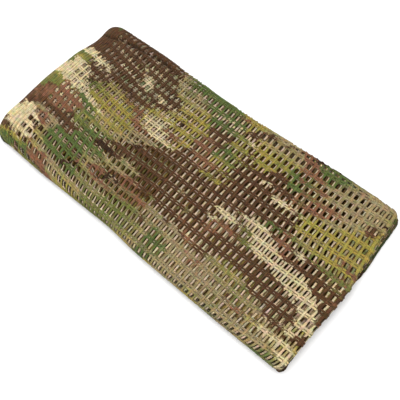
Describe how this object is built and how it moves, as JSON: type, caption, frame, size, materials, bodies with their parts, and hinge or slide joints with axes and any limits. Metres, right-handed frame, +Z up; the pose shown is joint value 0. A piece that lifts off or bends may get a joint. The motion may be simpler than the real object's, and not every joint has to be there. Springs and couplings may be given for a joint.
{
  "type": "folded scrim net",
  "caption": "Rectangular knitted scrim net, folded flat into a long stack of laps that one outer fold wraps at its end, for use as a scarf, face veil or cover.",
  "frame": {"origin": "on the surface that the pack lies on, under the middle of the pack", "axes": "+X along the pack from the outer fold to the loose ends, +Y across it from the side that turns down to the side of stacked laps, +Z up"},
  "size_m": [0.479, 0.2284, 0.0165],
  "materials": {
    "knitted_net": "printed knitted mesh in brown, olive and green blotches, matt"
  },
  "bodies": {
    "root": {"scrim_net": "knitted_net"}
  },
  "joints": []
}
